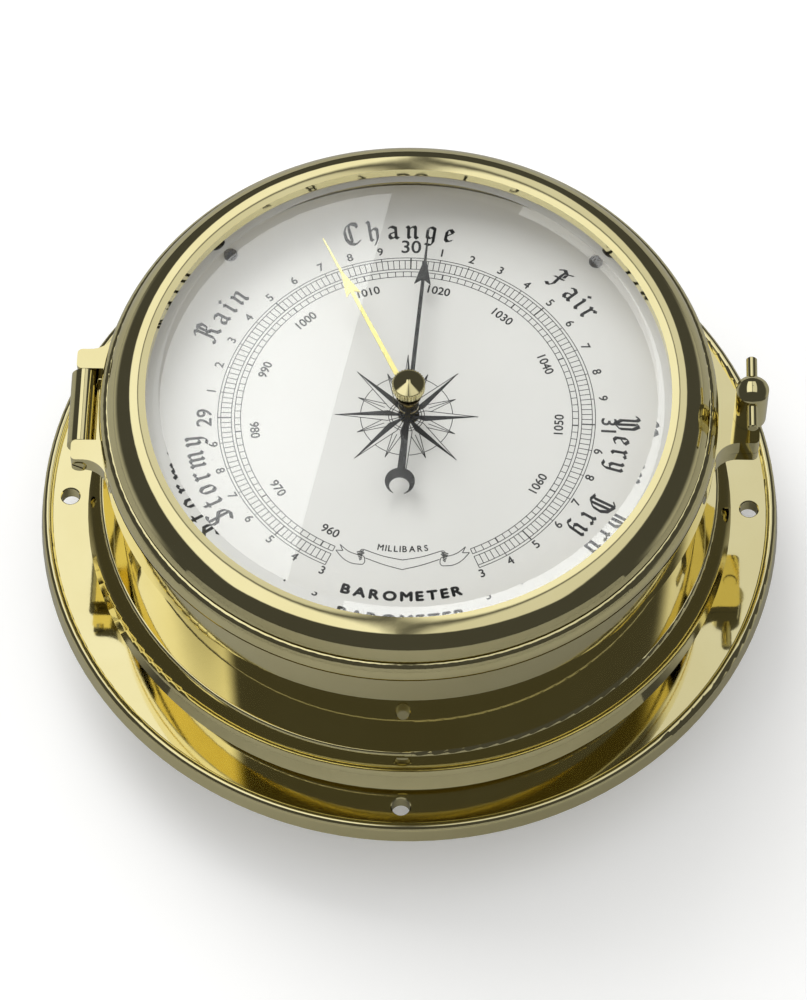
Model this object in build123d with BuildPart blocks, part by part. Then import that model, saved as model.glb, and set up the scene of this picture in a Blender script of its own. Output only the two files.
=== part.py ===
"""Ship's aneroid barometer in a hinged brass case with a wall flange.

The flange's back face lies in the XZ plane and the dial faces -Y.  +Z is twelve o'clock and
+X is three o'clock.  A "height" is a distance in front of the back face.  Sizes are in mm.
"""
import math
import os

from build123d import *

os.makedirs("parts", exist_ok=True)

# ---------------------------------------------------------------- planes
FACE = Plane.XZ  # looking at the dial: local x = X, local y = Z, normal towards the viewer
SECTION = Plane(origin=(0, 0, 0), x_dir=(1, 0, 0), z_dir=(0, 0, -1))  # x = radius, y = height
ALONG_Z = Plane(origin=(0, 0, 0), x_dir=(1, 0, 0), z_dir=(0, 0, 1))  # local y = -height

# ---------------------------------------------------------------- driving sizes
dial_radius = 76.5
parting_height = 49.3

# clearances
parting_gap = 0.15
running_clearance = 0.04
loose_clearance = 0.2
dial_clearance = 0.3
skirt_clearance = 0.5

# case
spigot_width = 2.1
spigot_rise = 2.3
rim_height = 4.9
rim_set_in = 0.2
rim_overhang = 3.2
wall_thickness = 3.7
step_width = 5.5
step_height = 17.5
step_lip = 1.9
step_overhang = 0.5
foot_width = 4.1
flange_width = 13.5
flange_thickness = 4.5
flange_edge_taper = 0.6
bead_width = 3.0
bead_rise = 1.1
edge_chamfer = 0.3
mount_hole_radius = 2.55
mount_hole_count = 4
mount_set_out = 5.15

# dial and its seat
dial_thickness = 1.0
dial_seat_rise = 0.3
dial_seat_width = 7.0
dial_seat_thickness = 3.0
dial_hole_clearance = 2.2
dial_screw_set_in = 3.8
dial_screw_angles = (45.0, 135.0)
dial_screw_radius = 1.1
dial_screw_head_radius = 1.95
dial_screw_head_height = 1.2
dial_screw_slot_turn = 60.0

# bezel
skirt_wall = 5.9
skirt_height = 6.6
groove_width = 0.5
groove_depth = 0.4
ovolo_width = 2.6
ovolo_set_in = 0.1
nose_end_angle = 65.8
lip_cover = 4.6
lip_rise = 0.9
lip_clearance = 0.25
crest_set_out = 2.4

# glass
hand_room = 10.8
glass_thickness = 4.6
glass_set_in = 0.9
bevel_width = 3.9
bevel_drop = 2.4
bevel_tuck = 0.3
gasket_thickness = 0.5
retainer_height = 1.8
retainer_show = 0.4

# hinge and latch
barrel_radius = 3.75
barrel_length = 22.9
barrel_gap = 0.95
hinge_rise = 1.9
hinge_web_width = 0.8 * barrel_radius
hinge_web_thickness = 3.9
hinge_lug_width = 6.3
hinge_lug_wall = 0.25
hinge_pin_radius = 1.5
hinge_head_overlap = 0.55
hinge_head_depth = 1.2
hinge_head_proud = 0.25
hinge_slot_turn = 35.0
bezel_lug_thickness = 5.45
lug_root = 1.0
lug_blend = 7.0
lug_corner = 1.5
latch_gap = 3.9
latch_lug_wall = 0.9
latch_lug_width = 17.4
latch_lug_thickness = 3.3
lock_head_radius = 4.5
lock_head_length = 13.7
lock_head_gap = 0.1
lock_dome_height = 2.2
lock_neck_radius = 1.5
lock_thread_radius = 1.8
lock_thread_short = 0.5
tommy_radius = 1.5
tommy_length = 22.4
tommy_drop = 2.1

# hands
knob_radius = 4.55
knob_rim_height = 2.5
knob_cone_height = 1.4
knurl_count = 36
knurl_radius = 0.22
knob_stem_radius = 1.4
bush_wall = 1.1
bush_flange_width = 1.1
bush_flange_thickness = 0.5
hand_thickness = 0.5
hand_boss_radius = 2.8
hand_boss_height = 1.2
set_hand_length = 57.0
set_hand_angle = 26.2
set_hand_barb_start = 0.66
set_hand_barb_end = 0.77
indicator_length = 58.4
indicator_angle = -4.2
indicator_rise = 5.2
indicator_barb_start = 0.70
indicator_barb_end = 0.81
crescent_distance = 24.7
crescent_outer_radius = 4.1
crescent_inner_radius = 2.75
crescent_shift = 1.5
arbor_radius = 0.8
hub_wall = 0.8
drum_rim = 0.2
drum_height = 1.4

# movement frame
movement_depth = 31.6
plate_radius = 48.0
plate_thickness = 2.0
post_set_in = 4.0
post_angles = (30.0, 150.0, 270.0)
post_radius = 2.5
screw_radius = 1.2
screw_head_radius = 2.3
screw_head_height = 1.2
screw_slot_width = 0.6
screw_slot_depth = 0.6
screw_bite = 5.0
bridge_thickness = 1.2
lower_bridge_gap = 4.7
lower_bridge_width = 8.0
lower_pillar_gap = 9.5
pillar_radius = 2.6
top_bridge_gap = 5.0
top_bridge_width = 6.0
top_pillar_z = 12.0
top_pillar_radius = 2.0
arbor_tail = 0.6

# capsule and main spring
capsule_radius = 20.5
capsule_gap = 0.8
capsule_height = 8.0
capsule_skin = 0.35
capsule_boss_radius = 4.0
capsule_edge_width = 2.0
ripple_count = 4
ripple_depth = 0.5
capsule_post_radius = 1.6
capsule_post_proud = 0.8
spring_width = 20.0
spring_thickness = 1.0
spring_gap = 3.7
spring_tip_x = 4.0
spring_bend_offset = 4.0
stand_height = 2.0
stand_length = 12.0
stand_gap = 5.5

# lever, rocker and chain
lever_offset = 4.0
lever_rise = 2.5
lever_thickness = 1.0
lever_width = 2.2
lever_z = 6.0
lever_tip = 1.5
lever_pivot_radius = 0.7
lever_boss_radius = 1.2
ear_thickness = 1.5
ear_gap = 0.5
ear_half_width = 1.8
ear_rise = 1.6
bracket_half_width = 3.0
bracket_thickness = 0.6
rocker_gap = 3.5
rocker_arm = 13.0
rocker_crank = 5.0
rocker_shaft_radius = 0.8
rocker_bar = 1.0
rocker_crank_width = 1.6
rocker_arm_width = 1.6
rocker_arm_thickness = 1.2
rocker_arm_tip = 0.8
rocker_post_thickness = 1.5
rocker_post_width = 5.0
rocker_post_rise = 1.8
rocker_post_low_z = -4.5
rocker_post_high_z = 10.5
rocker_foot_thickness = 1.0
link_radius = 0.4
link_tail = 2.5
link_eye_radius = 0.85
link_eye_wall = 0.7
chain_rise = 1.6
chain_thickness = 0.4
chain_bar = 0.4
chain_start = -4.0
chain_eye_radius = 0.8
chain_pin_radius = 0.35
chain_link_radius = 0.4
chain_link_pitch = 1.5
drum_gap = 0.1
arm_gap = 0.2

# hairspring
hairspring_rise = 1.2
hairspring_height = 0.6
hairspring_inner_radius = 1.7
hairspring_turns = 4
hairspring_pitch = 1.0
hairspring_ribbon = 0.2
hairspring_stud_radius = 0.5

# back cover and adjusting screw
cover_overlap = 5.3
cover_thickness = 1.5
cover_recess = 1.8
cover_screw_count = 4
cover_screw_set_in = 2.5
cover_screw_radius = 1.2
cover_screw_head_radius = 2.3
cover_screw_sink = 0.1
cover_screw_length = 7.0
adjuster_radius = 1.5
adjuster_head_radius = 2.6
adjuster_head_height = 2.0
adjuster_access_radius = 4.0

# ---------------------------------------------------------------- derived radii
spigot_inner_radius = dial_radius + dial_clearance
spigot_outer_radius = spigot_inner_radius + spigot_width
skirt_bore_radius = spigot_outer_radius + skirt_clearance
skirt_radius = skirt_bore_radius + skirt_wall
rim_radius = skirt_radius - rim_set_in
wall_radius = rim_radius - rim_overhang
case_bore_radius = wall_radius - wall_thickness
step_radius = wall_radius + step_width
foot_radius = step_radius + foot_width
flange_radius = foot_radius + flange_width
mount_circle_radius = foot_radius + mount_set_out
cover_radius = case_bore_radius + cover_overlap
cover_screw_circle = cover_radius - cover_screw_set_in
seat_inner_radius = dial_radius - dial_seat_width
dial_screw_circle = dial_radius - dial_screw_set_in
dial_hole_radius = arbor_radius + dial_hole_clearance
lip_radius = dial_radius - lip_cover
glass_radius = dial_radius - glass_set_in
seat_bore_radius = glass_radius + loose_clearance
bevel_outer_radius = lip_radius + bevel_tuck
bevel_inner_radius = bevel_outer_radius - bevel_width
retainer_inner_radius = lip_radius + retainer_show
ovolo_inner = skirt_radius - ovolo_set_in - ovolo_width
crest_radius = lip_radius + crest_set_out
nose_radius = (ovolo_inner - crest_radius) / math.sin(math.radians(nose_end_angle))
glass_hole_radius = knob_stem_radius + bush_wall
bush_flange_radius = glass_hole_radius + bush_flange_width
post_circle_radius = plate_radius - post_set_in
hub_radius = arbor_radius + hub_wall
drum_radius = arbor_radius + drum_rim

# hinge and latch places
hinge_head_radius = hinge_pin_radius + hinge_head_overlap
hinge_bore_radius = hinge_pin_radius + running_clearance
hinge_x = -(skirt_radius + barrel_gap + barrel_radius)
hinge_lug_reach = -hinge_x + hinge_head_radius + hinge_lug_wall
hinge_lug_inner = barrel_length / 2 + parting_gap
hinge_lug_outer = hinge_lug_inner + hinge_lug_width
hinge_lug_middle = (hinge_lug_inner + hinge_lug_outer) / 2
latch_x = skirt_radius + latch_gap + lock_head_radius
latch_lug_reach = latch_x + lock_thread_radius + latch_lug_wall

# ---------------------------------------------------------------- derived heights
rim_base = parting_height - rim_height
bezel_base = parting_height + parting_gap
dial_base = parting_height + dial_seat_rise
dial_top = dial_base + dial_thickness
glass_base = dial_top + hand_room
glass_top = glass_base + glass_thickness
land_height = glass_top - bevel_drop
lip_height = glass_top + lip_rise
lip_underside = land_height + lip_clearance
retainer_top = glass_base - gasket_thickness
retainer_base = retainer_top - retainer_height
skirt_bore_top = retainer_base - lip_clearance
groove_base = bezel_base + skirt_height
ovolo_base = groove_base + groove_width
nose_centre_height = lip_height - math.sqrt(nose_radius**2 - crest_set_out**2)
crest_height = nose_centre_height + nose_radius
shoulder_base = nose_centre_height + nose_radius * math.cos(math.radians(nose_end_angle))
ovolo_top = shoulder_base - 2 * groove_width
ovolo_height = ovolo_top - ovolo_base
hinge_height = parting_height + hinge_rise
lug_front = bezel_base + bezel_lug_thickness
latch_lug_base = parting_height - latch_lug_thickness
lock_head_base = lug_front + lock_head_gap
lock_head_top = lock_head_base + lock_head_length
tommy_height = lock_head_top - tommy_drop
knob_base = glass_top + loose_clearance
bush_base = glass_base - bush_flange_thickness
set_boss_top = bush_base - loose_clearance / 2
set_boss_base = set_boss_top - hand_boss_height
indicator_height = dial_top + indicator_rise
hub_base = indicator_height - hand_thickness
hub_top = indicator_height + hand_boss_height
cover_base = cover_recess - cover_thickness
cover_head_base = cover_base + cover_screw_sink
plate_base = dial_base - movement_depth
plate_top = plate_base + plate_thickness
stand_top = plate_top + stand_height
capsule_base = plate_top + capsule_gap
capsule_top = capsule_base + capsule_height
spring_top = capsule_top + spring_gap + spring_thickness
lower_bridge_base = spring_top + lower_bridge_gap
lower_bridge_top = lower_bridge_base + bridge_thickness
top_bridge_base = lower_bridge_top + top_bridge_gap
top_bridge_top = top_bridge_base + bridge_thickness
lever_height = spring_top + lever_rise
chain_height = lower_bridge_top + chain_rise
rocker_height = chain_height - rocker_arm
hairspring_base = chain_height + hairspring_rise

# places across the movement
stand_x = -(capsule_radius + stand_gap + stand_length / 2)
adjuster_x = stand_x
spring_bend_x = stand_x - spring_bend_offset
lever_pivot_x = stand_x + lever_offset
rocker_x = capsule_radius + rocker_gap
link_x = rocker_x + rocker_crank
lower_pillar_z = capsule_radius + lower_pillar_gap
chain_z = drum_radius + drum_gap + chain_thickness / 2
arm_low_z = chain_z + chain_thickness / 2 + arm_gap


def polar(radius, degrees):
    """A point on a circle about the dial's centre."""
    angle = math.radians(degrees)
    return (radius * math.cos(angle), radius * math.sin(angle))


def turned(points, degrees):
    """The points of a twelve o'clock outline, turned counterclockwise on the dial."""
    angle = math.radians(degrees)
    cosine = math.cos(angle)
    sine = math.sin(angle)
    return [(x * cosine - z * sine, x * sine + z * cosine) for x, z in points]


def finish(builder, name):
    """Names a finished piece and writes it out."""
    builder.part.label = name
    export_step(builder.part, f"parts/{name}.step")


def rod(radius, start, end, places=((0, 0),), mode=Mode.ADD):
    """Adds or cuts round rods between two heights in the piece being built."""
    with BuildSketch(FACE.offset(start)) as outline:
        with Locations(*places):
            Circle(radius)
    extrude(outline.sketch, amount=end - start, mode=mode)


def block(low, high, start, end, mode=Mode.ADD):
    """Adds or cuts a rectangular block between two heights; corners are (x, z)."""
    with BuildSketch(FACE.offset(start)) as outline:
        with Locations(((low[0] + high[0]) / 2, (low[1] + high[1]) / 2)):
            Rectangle(high[0] - low[0], high[1] - low[1])
    extrude(outline.sketch, amount=end - start, mode=mode)


def cross_rod(radius, x, height, low_z, high_z, mode=Mode.ADD):
    """Adds or cuts a round rod that lies along Z."""
    with BuildSketch(ALONG_Z.offset(low_z)) as outline:
        with Locations((x, -height)):
            Circle(radius)
    extrude(outline.sketch, amount=high_z - low_z, mode=mode)


def slots(places, top, head_radius, turn=0.0):
    """Cuts a screwdriver slot across the top of each round head."""
    with BuildSketch(FACE.offset(top)) as outline:
        with Locations(*places):
            Rectangle(2 * head_radius + screw_slot_width, screw_slot_width, rotation=turn)
    extrude(outline.sketch, amount=-screw_slot_depth, mode=Mode.SUBTRACT)


dial_screw_places = [polar(dial_screw_circle, a) for a in dial_screw_angles]
post_places = [polar(post_circle_radius, a) for a in post_angles]
cover_screw_angles = [45 + 360 / cover_screw_count * i for i in range(cover_screw_count)]
cover_screw_places = [polar(cover_screw_circle, angle) for angle in cover_screw_angles]
lower_pillar_places = [(0, -lower_pillar_z), (0, lower_pillar_z)]
top_pillar_places = [(0, -top_pillar_z), (0, top_pillar_z)]

# ---------------------------------------------------------------- case
cove_top = (step_radius - step_overhang, step_height - step_lip)
cove_run = foot_radius - cove_top[0]
cove_rise = cove_top[1] - flange_thickness
cove_radius = (cove_run**2 + cove_rise**2) / (2 * cove_run)
cove_sweep = math.degrees(math.asin(cove_rise / cove_radius))
step_round = step_lip / 2
bead_outer = flange_radius - flange_edge_taper

with BuildPart() as case_body:
    with BuildSketch(SECTION):
        with BuildLine():
            Polyline(
                (cover_radius + loose_clearance, 0),
                (flange_radius, 0),
                (bead_outer, flange_thickness),
            )
            ThreePointArc(
                (bead_outer, flange_thickness),
                (bead_outer - bead_width / 2, flange_thickness + bead_rise),
                (bead_outer - bead_width, flange_thickness),
            )
            Line((bead_outer - bead_width, flange_thickness), (foot_radius, flange_thickness))
            CenterArc((cove_top[0] + cove_radius, cove_top[1]), cove_radius, 180, cove_sweep)
            Polyline(
                cove_top,
                (step_radius, cove_top[1]),
                (step_radius, step_height - step_round),
            )
            CenterArc((step_radius - step_round, step_height - step_round), step_round, 0, 90)
            Polyline(
                (step_radius - step_round, step_height),
                (wall_radius, step_height),
                (wall_radius, rim_base),
                (rim_radius - edge_chamfer, rim_base),
                (rim_radius, rim_base + edge_chamfer),
                (rim_radius, parting_height),
                (spigot_outer_radius, parting_height),
                (spigot_outer_radius, parting_height + spigot_rise),
                (spigot_inner_radius, parting_height + spigot_rise),
                (spigot_inner_radius, dial_base),
                (seat_inner_radius, dial_base),
                (seat_inner_radius, dial_base - dial_seat_thickness),
                (case_bore_radius, dial_base - 2 * dial_seat_thickness),
                (case_bore_radius, cover_recess),
                (cover_radius + loose_clearance, cover_recess),
                (cover_radius + loose_clearance, 0),
            )
        make_face()
    revolve(axis=Axis.Y)
    # latch lug, blended into the rim
    with BuildSketch(FACE.offset(latch_lug_base)):
        Circle(rim_radius)
        with Locations((latch_lug_reach / 2, 0)):
            Rectangle(latch_lug_reach, latch_lug_width)
        fillet(vertices().sort_by(Axis.X)[-2:], lug_corner)
        roots = [v for v in vertices() if abs(math.hypot(v.X, v.Y) - rim_radius) < 0.01 and v.X > 50]
        fillet(roots, lug_blend)
        Circle(case_bore_radius + lug_root, mode=Mode.SUBTRACT)
    extrude(amount=latch_lug_thickness)
    # hinge barrel on a web that grows out of the rim
    cross_rod(barrel_radius, hinge_x, hinge_height, -barrel_length / 2, barrel_length / 2)
    block(
        (hinge_x - hinge_web_width, -barrel_length / 2),
        (-case_bore_radius - lug_root, barrel_length / 2),
        parting_height - hinge_web_thickness,
        parting_height,
    )
    web_edges = edges().filter_by(Axis.Z).sort_by(Axis.X)[:2].sort_by(Axis.Y)[-1:]
    fillet(web_edges, lug_corner)
    # bores for wall screws, hinge pin, latch, dial screws and cover screws
    with BuildSketch(FACE):
        with PolarLocations(mount_circle_radius, mount_hole_count):
            Circle(mount_hole_radius)
    extrude(amount=flange_thickness, mode=Mode.SUBTRACT)
    mount_rims = [
        e for e in edges().filter_by(GeomType.CIRCLE)
        if abs(e.radius - mount_hole_radius) < 0.01 and e.center().Y < -flange_thickness / 2
    ]
    chamfer(mount_rims, edge_chamfer)
    cross_rod(
        hinge_bore_radius, hinge_x, hinge_height, -barrel_length, barrel_length, Mode.SUBTRACT
    )
    rod(
        lock_thread_radius + loose_clearance,
        latch_lug_base, parting_height, [(latch_x, 0)], Mode.SUBTRACT,
    )
    rod(dial_screw_radius, dial_base - 2 * dial_seat_thickness, dial_base,
        dial_screw_places, Mode.SUBTRACT)
    rod(cover_screw_radius, cover_recess, cover_recess + cover_screw_length,
        cover_screw_places, Mode.SUBTRACT)
finish(case_body, "case_body")

# ---------------------------------------------------------------- back cover
with BuildPart() as back_cover:
    rod(cover_radius, cover_base, cover_recess)
    rod(adjuster_access_radius, cover_base, cover_recess, [(adjuster_x, 0)], Mode.SUBTRACT)
    rod(cover_screw_head_radius, cover_base, cover_recess, cover_screw_places, Mode.SUBTRACT)
finish(back_cover, "back_cover")

with BuildPart() as back_cover_screws:
    rod(cover_screw_head_radius, cover_head_base, cover_recess, cover_screw_places)
    rod(cover_screw_radius, cover_recess, cover_recess + cover_screw_length - loose_clearance,
        cover_screw_places)
    slots(cover_screw_places, cover_head_base + screw_slot_depth, cover_screw_head_radius)
finish(back_cover_screws, "back_cover_screws")

# ---------------------------------------------------------------- dial
with BuildPart() as dial_plate:
    rod(dial_radius, dial_base, dial_top)
    rod(dial_hole_radius, dial_base, dial_top, mode=Mode.SUBTRACT)
    rod(dial_screw_radius, dial_base, dial_top, dial_screw_places, Mode.SUBTRACT)
finish(dial_plate, "dial_plate")

with BuildPart() as dial_screws:
    dial_screw_top = dial_top + dial_screw_head_height
    rod(dial_screw_radius, dial_base - dial_seat_thickness, dial_top, dial_screw_places)
    rod(dial_screw_head_radius, dial_top, dial_screw_top, dial_screw_places)
    head_edges = edges().filter_by(GeomType.CIRCLE).group_by(Axis.Y)[0]
    fillet(head_edges, dial_screw_head_height * 0.6)
    slots(dial_screw_places, dial_screw_top, dial_screw_head_radius, dial_screw_slot_turn)
finish(dial_screws, "dial_screws")

# ---------------------------------------------------------------- bezel
with BuildPart() as bezel_ring:
    with BuildSketch(SECTION):
        with BuildLine():
            Polyline(
                (skirt_bore_radius, bezel_base),
                (skirt_radius, bezel_base),
                (skirt_radius, groove_base),
                (skirt_radius - groove_depth, groove_base),
                (skirt_radius - groove_depth, ovolo_base),
                (ovolo_inner + ovolo_width, ovolo_base),
            )
            EllipticalCenterArc(
                (ovolo_inner, ovolo_base), ovolo_width, ovolo_height, start_angle=0, arc_size=90
            )
            Polyline(
                (ovolo_inner, ovolo_top),
                (ovolo_inner - groove_depth, ovolo_top),
                (ovolo_inner - groove_depth, shoulder_base - groove_width),
                (ovolo_inner, shoulder_base - groove_width),
                (ovolo_inner, shoulder_base),
            )
            ThreePointArc(
                (ovolo_inner, shoulder_base), (crest_radius, crest_height), (lip_radius, lip_height)
            )
            Polyline(
                (lip_radius, lip_height),
                (lip_radius, lip_underside),
                (seat_bore_radius, lip_underside),
                (seat_bore_radius, skirt_bore_top),
                (skirt_bore_radius, skirt_bore_top),
                (skirt_bore_radius, bezel_base),
            )
        make_face()
    revolve(axis=Axis.Y)
    # two hinge lugs and one latch lug, cast with the skirt
    with BuildSketch(FACE.offset(bezel_base)):
        Circle(skirt_radius)
        with Locations(
            (-hinge_lug_reach / 2, hinge_lug_middle), (-hinge_lug_reach / 2, -hinge_lug_middle)
        ):
            Rectangle(hinge_lug_reach, hinge_lug_width)
        with Locations((latch_lug_reach / 2, 0)):
            Rectangle(latch_lug_reach, latch_lug_width)
        fillet(vertices().sort_by(Axis.X)[-2:], lug_corner)
        fillet(vertices().sort_by(Axis.X)[:4], lug_corner)
        roots = [
            v for v in vertices()
            if abs(math.hypot(v.X, v.Y) - skirt_radius) < 0.01
            and (v.X > 50 or abs(v.Y) > hinge_lug_middle)
        ]
        fillet(roots, lug_blend)
        Circle(skirt_bore_radius + lug_root, mode=Mode.SUBTRACT)
    extrude(amount=lug_front - bezel_base)
    # bores for the hinge pin, its head and the latch neck
    cross_rod(hinge_pin_radius, hinge_x, hinge_height,
              -hinge_lug_outer, hinge_lug_outer, Mode.SUBTRACT)
    cross_rod(hinge_head_radius, hinge_x, hinge_height,
              -hinge_lug_outer, -hinge_lug_outer + hinge_head_depth, Mode.SUBTRACT)
    rod(lock_neck_radius + running_clearance, bezel_base, lug_front,
        [(latch_x, 0)], Mode.SUBTRACT)
finish(bezel_ring, "bezel_ring")

with BuildPart() as hinge_screw:
    head_face = -hinge_lug_outer - hinge_head_proud
    cross_rod(hinge_pin_radius, hinge_x, hinge_height, head_face, hinge_lug_outer)
    cross_rod(hinge_head_radius, hinge_x, hinge_height,
              head_face, -hinge_lug_outer + hinge_head_depth)
    with BuildSketch(ALONG_Z.offset(head_face)):
        with Locations((hinge_x, -hinge_height)):
            Rectangle(
                2 * hinge_head_radius + screw_slot_width, screw_slot_width, rotation=hinge_slot_turn
            )
    extrude(amount=screw_slot_depth, mode=Mode.SUBTRACT)
finish(hinge_screw, "hinge_screw")

# ---------------------------------------------------------------- glass and what holds it
with BuildPart() as glass:
    with BuildSketch(SECTION):
        Polygon(
            (glass_hole_radius, glass_base),
            (glass_radius, glass_base),
            (glass_radius, land_height),
            (bevel_outer_radius, land_height),
            (bevel_inner_radius, glass_top),
            (glass_hole_radius, glass_top),
            align=None,
        )
    revolve(axis=Axis.Y)
finish(glass, "glass")

with BuildPart() as glass_gasket:
    rod(glass_radius, retainer_top, glass_base)
    rod(retainer_inner_radius, retainer_top, glass_base, mode=Mode.SUBTRACT)
finish(glass_gasket, "glass_gasket")

with BuildPart() as glass_retaining_ring:
    rod(seat_bore_radius, retainer_base, retainer_top)
    rod(retainer_inner_radius, retainer_base, retainer_top, mode=Mode.SUBTRACT)
finish(glass_retaining_ring, "glass_retaining_ring")

# ---------------------------------------------------------------- latch screw
with BuildPart() as locking_screw:
    rod(lock_head_radius, lock_head_base, lock_head_top, [(latch_x, 0)])
    dome_radius = (lock_head_radius**2 + lock_dome_height**2) / (2 * lock_dome_height)
    with BuildSketch(Plane(origin=(latch_x, 0, 0), x_dir=(1, 0, 0), z_dir=(0, 0, -1))):
        with BuildLine():
            dome_top = (0, lock_head_top + lock_dome_height)
            Polyline(dome_top, (0, lock_head_top), (lock_head_radius, lock_head_top))
            RadiusArc(dome_top, (lock_head_radius, lock_head_top), dome_radius)
        make_face()
    revolve(axis=Axis((latch_x, 0, 0), (0, 1, 0)))
    rod(lock_neck_radius, parting_height, lock_head_base, [(latch_x, 0)])
    rod(lock_thread_radius, latch_lug_base + lock_thread_short, parting_height, [(latch_x, 0)])
    cross_rod(tommy_radius, latch_x, tommy_height,
              -tommy_length / 2, tommy_length / 2, Mode.SUBTRACT)
finish(locking_screw, "locking_screw")

with BuildPart() as tommy_bar:
    cross_rod(tommy_radius, latch_x, tommy_height, -tommy_length / 2, tommy_length / 2)
    chamfer(edges().filter_by(GeomType.CIRCLE), edge_chamfer)
finish(tommy_bar, "tommy_bar")

# ---------------------------------------------------------------- set hand, knob and bush
with BuildPart() as knob_bush:
    rod(bush_flange_radius, bush_base, glass_base)
    rod(glass_hole_radius, glass_base, glass_top)
    rod(knob_stem_radius + running_clearance, bush_base, glass_top, mode=Mode.SUBTRACT)
finish(knob_bush, "knob_bush")

with BuildPart() as set_knob:
    with BuildSketch(FACE.offset(knob_base)):
        Circle(knob_radius)
        with PolarLocations(knob_radius, knurl_count):
            Circle(knurl_radius, mode=Mode.SUBTRACT)
    extrude(amount=knob_rim_height)
    knob_rim_top = knob_base + knob_rim_height
    with BuildSketch(SECTION):
        Polygon(
            (0, knob_rim_top),
            (knob_radius - 2 * knurl_radius, knob_rim_top),
            (0, knob_rim_top + knob_cone_height),
            align=None,
        )
    revolve(axis=Axis.Y)
    rod(knob_stem_radius, set_boss_base, knob_base)
finish(set_knob, "set_knob")

with BuildPart() as set_hand:
    barb_base = set_hand_length * set_hand_barb_start
    barb_tip = set_hand_length * set_hand_barb_end
    half_outline = [
        (0.75, 0), (0.45, barb_base), (2.1, barb_base - 1.3),
        (0.35, barb_tip), (0.12, set_hand_length),
    ]
    outline = half_outline + [(-x, z) for x, z in reversed(half_outline)]
    with BuildSketch(FACE.offset(set_boss_base + hand_thickness)):
        Polygon(*turned(outline, set_hand_angle), align=None)
    extrude(amount=hand_thickness)
    rod(hand_boss_radius, set_boss_base, set_boss_top)
    rod(knob_stem_radius, set_boss_base, set_boss_top, mode=Mode.SUBTRACT)
finish(set_hand, "set_hand")

# ---------------------------------------------------------------- indicator hand and arbor
with BuildPart() as indicator_hand:
    barb_base = indicator_length * indicator_barb_start
    barb_tip = indicator_length * indicator_barb_end
    tail = crescent_distance - crescent_outer_radius + 0.5
    half_outline = [
        (1.1, -tail), (0.65, 0), (0.5, barb_base), (2.3, barb_base - 1.4),
        (0.4, barb_tip), (0.15, indicator_length),
    ]
    outline = half_outline + [(-x, z) for x, z in reversed(half_outline)]
    with BuildSketch(FACE.offset(indicator_height)):
        with Locations(*turned([(0, -crescent_distance)], indicator_angle)):
            Circle(crescent_outer_radius)
        with Locations(*turned([(0, -crescent_distance - crescent_shift)], indicator_angle)):
            Circle(crescent_inner_radius, mode=Mode.SUBTRACT)
        Polygon(*turned(outline, indicator_angle), align=None)
    extrude(amount=hand_thickness)
    rod(hand_boss_radius, indicator_height, indicator_height + hand_thickness)
    rod(hub_radius, indicator_height, indicator_height + hand_thickness, mode=Mode.SUBTRACT)
finish(indicator_hand, "indicator_hand")

with BuildPart() as hand_hub:
    rod(hand_boss_radius, hub_base, indicator_height)
    rod(hub_radius, indicator_height, hub_top)
    rod(arbor_radius, hub_base, hub_top, mode=Mode.SUBTRACT)
finish(hand_hub, "hand_hub")

with BuildPart() as hand_arbor:
    rod(arbor_radius, lower_bridge_base - arbor_tail, hub_top)
    rod(drum_radius, chain_height - drum_height / 2, chain_height + drum_height / 2)
finish(hand_arbor, "hand_arbor")

# ---------------------------------------------------------------- movement frame
with BuildPart() as movement_plate:
    rod(plate_radius, plate_base, plate_top)
    rod(screw_radius, plate_base, plate_top, post_places, Mode.SUBTRACT)
    rod(adjuster_radius + running_clearance, plate_base, plate_top,
        [(adjuster_x, 0)], Mode.SUBTRACT)
finish(movement_plate, "movement_plate")

with BuildPart() as dial_posts:
    rod(post_radius, plate_top, dial_base, post_places)
    rod(screw_radius, plate_top, plate_top + screw_bite, post_places, Mode.SUBTRACT)
finish(dial_posts, "dial_posts")

with BuildPart() as movement_screws:
    rod(screw_head_radius, plate_base - screw_head_height, plate_base, post_places)
    rod(screw_radius, plate_base, plate_top + screw_bite, post_places)
    slots(post_places, plate_base - screw_head_height + screw_slot_depth, screw_head_radius)
finish(movement_screws, "movement_screws")

with BuildPart() as bridge_pillars:
    rod(pillar_radius, plate_top, lower_bridge_base, lower_pillar_places)
    rod(top_pillar_radius, lower_bridge_top, top_bridge_base, top_pillar_places)
    rod(screw_radius, lower_bridge_base - screw_bite, lower_bridge_base,
        lower_pillar_places, Mode.SUBTRACT)
    rod(screw_radius, lower_bridge_top, top_bridge_base, top_pillar_places, Mode.SUBTRACT)
finish(bridge_pillars, "bridge_pillars")

with BuildPart() as lower_bridge:
    reach = lower_pillar_z + lower_bridge_width / 2
    block((-lower_bridge_width / 2, -reach), (lower_bridge_width / 2, reach),
          lower_bridge_base, lower_bridge_top)
    rod(arbor_radius + running_clearance, lower_bridge_base, lower_bridge_top, mode=Mode.SUBTRACT)
    rod(screw_radius, lower_bridge_base, lower_bridge_top, lower_pillar_places, Mode.SUBTRACT)
    fillet(edges().filter_by(Axis.Y).filter_by(GeomType.LINE), lug_corner)
finish(lower_bridge, "lower_bridge")

with BuildPart() as top_bridge:
    reach = top_pillar_z + top_bridge_width / 2
    block((-top_bridge_width / 2, -reach), (top_bridge_width / 2, reach),
          top_bridge_base, top_bridge_top)
    rod(arbor_radius + running_clearance, top_bridge_base, top_bridge_top, mode=Mode.SUBTRACT)
    rod(screw_radius, top_bridge_base, top_bridge_top, top_pillar_places, Mode.SUBTRACT)
    fillet(edges().filter_by(Axis.Y).filter_by(GeomType.LINE), lug_corner)
finish(top_bridge, "top_bridge")

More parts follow.
